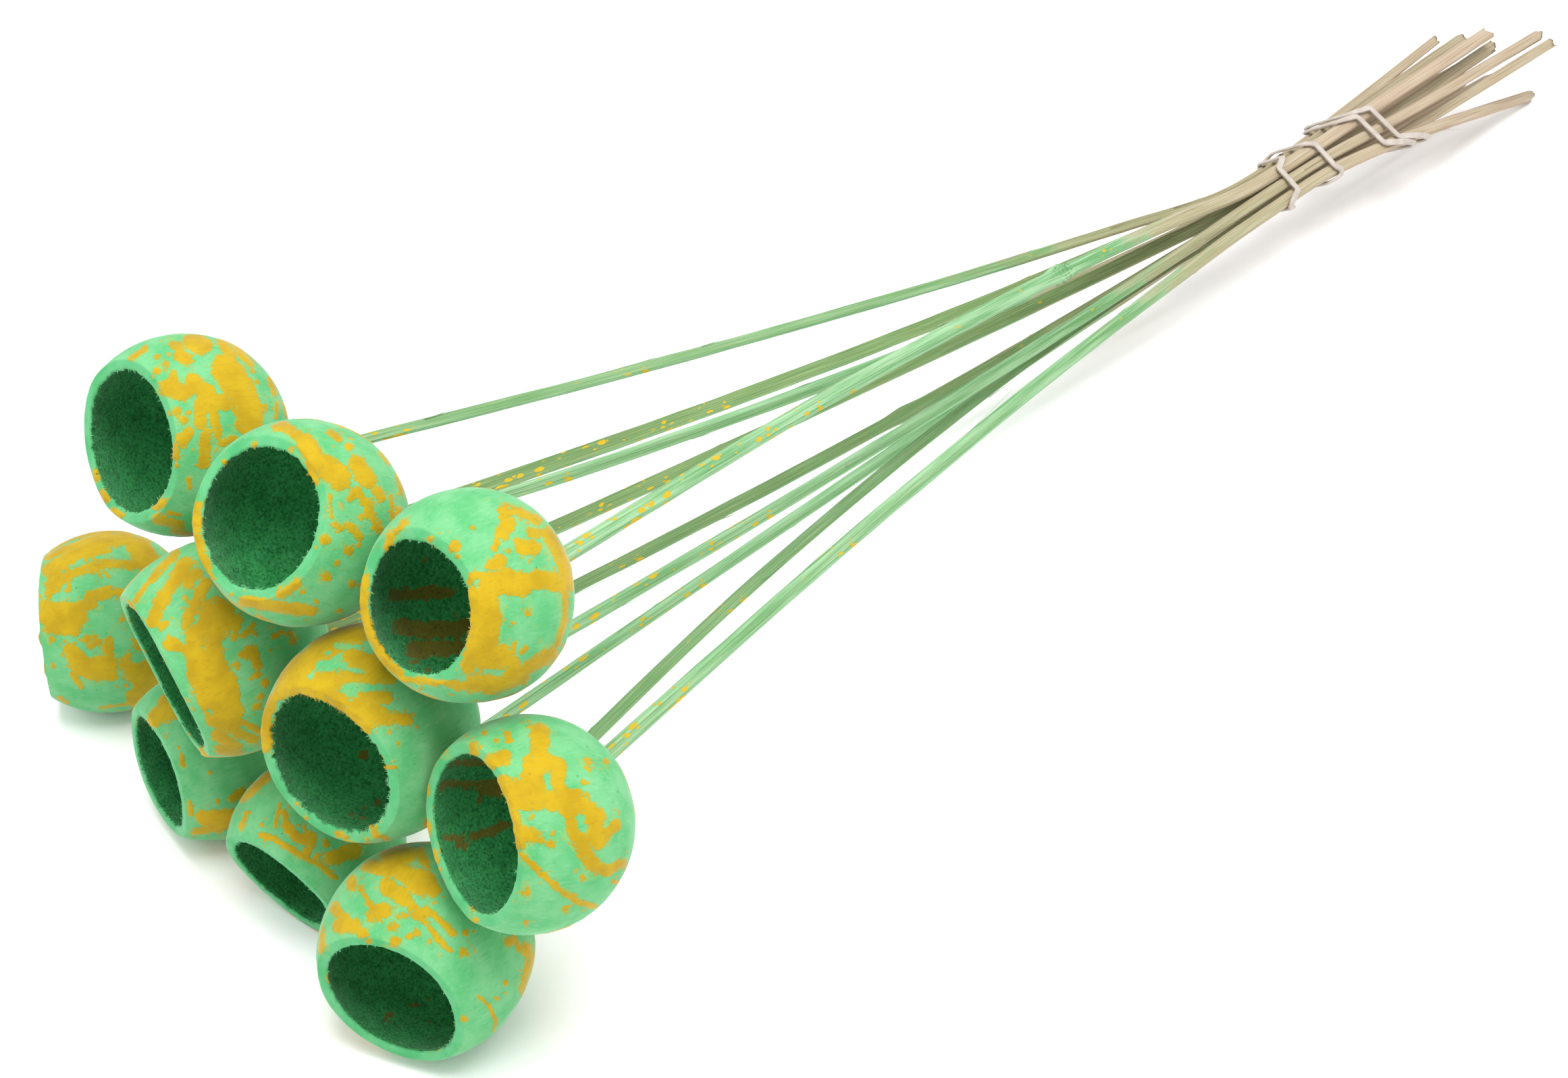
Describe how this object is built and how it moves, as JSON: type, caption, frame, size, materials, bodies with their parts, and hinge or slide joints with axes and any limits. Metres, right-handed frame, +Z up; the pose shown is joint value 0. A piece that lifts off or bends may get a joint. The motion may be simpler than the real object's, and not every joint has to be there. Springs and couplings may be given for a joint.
{
  "type": "dyed bell cup pod bunch",
  "caption": "Tied bunch of hollow dyed bell cup pods on long split stems, lying down, for dried flower arrangements.",
  "frame": {"origin": "on the table, under the middle of the bunch's box", "axes": "+X from the cups to the cut ends of the stems, +Z up from the table that the bunch lies on"},
  "size_m": [0.5624, 0.2028, 0.1186],
  "materials": {
    "cup": "matte chalky mint green dye with yellow paint blotches",
    "stem": "fibrous split palm rib, green near the cups and tan at the tie",
    "band": "matte pinkish beige"
  },
  "bodies": {
    "root": {"cup_low_1": "cup", "cup_low_2": "cup", "cup_low_3": "cup", "cup_low_4": "cup", "cup_mid_1": "cup", "cup_mid_2": "cup", "cup_mid_3": "cup", "cup_top_1": "cup", "cup_top_2": "cup", "cup_top_3": "cup", "stem_low_1": "stem", "stem_low_2": "stem", "stem_low_3": "stem", "stem_low_4": "stem", "stem_mid_1": "stem", "stem_mid_2": "stem", "stem_mid_3": "stem", "stem_top_1": "stem", "stem_top_2": "stem", "stem_top_3": "stem", "band_lower": "band", "band_upper": "band"}
  },
  "joints": []
}
